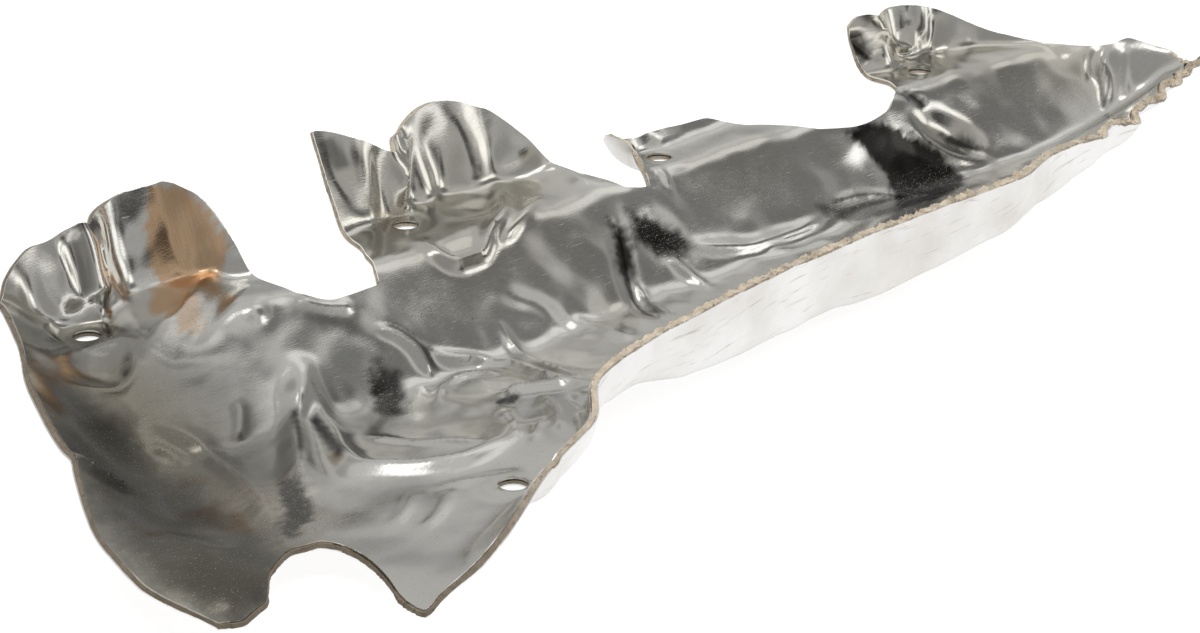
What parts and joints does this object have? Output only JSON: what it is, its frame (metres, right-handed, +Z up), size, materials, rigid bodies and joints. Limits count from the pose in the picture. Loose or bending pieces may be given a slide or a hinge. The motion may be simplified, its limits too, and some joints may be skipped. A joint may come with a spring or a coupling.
{
  "type": "exhaust heat shield",
  "caption": "Long tray-shaped exhaust heat shield of two bright metal skins on a fibre core, with flared ears, notches and bolt holes.",
  "frame": {"origin": "middle of the box that the shield fills, on the surface that it lies on", "axes": "+X from the wide end with two lobes to the pointed end, +Y from the front rim to the ears, +Z up out of the tray"},
  "size_m": [0.4524, 0.1638, 0.0549],
  "materials": {
    "outer_skin": "satin, whitish, lightly scuffed",
    "fibre_core": "matt, ragged fibre",
    "inner_skin": "mirror bright, fine scratches, light heat tint"
  },
  "bodies": {
    "root": {"outer_skin": "outer_skin", "fibre_core": "fibre_core", "inner_skin": "inner_skin"}
  },
  "joints": []
}
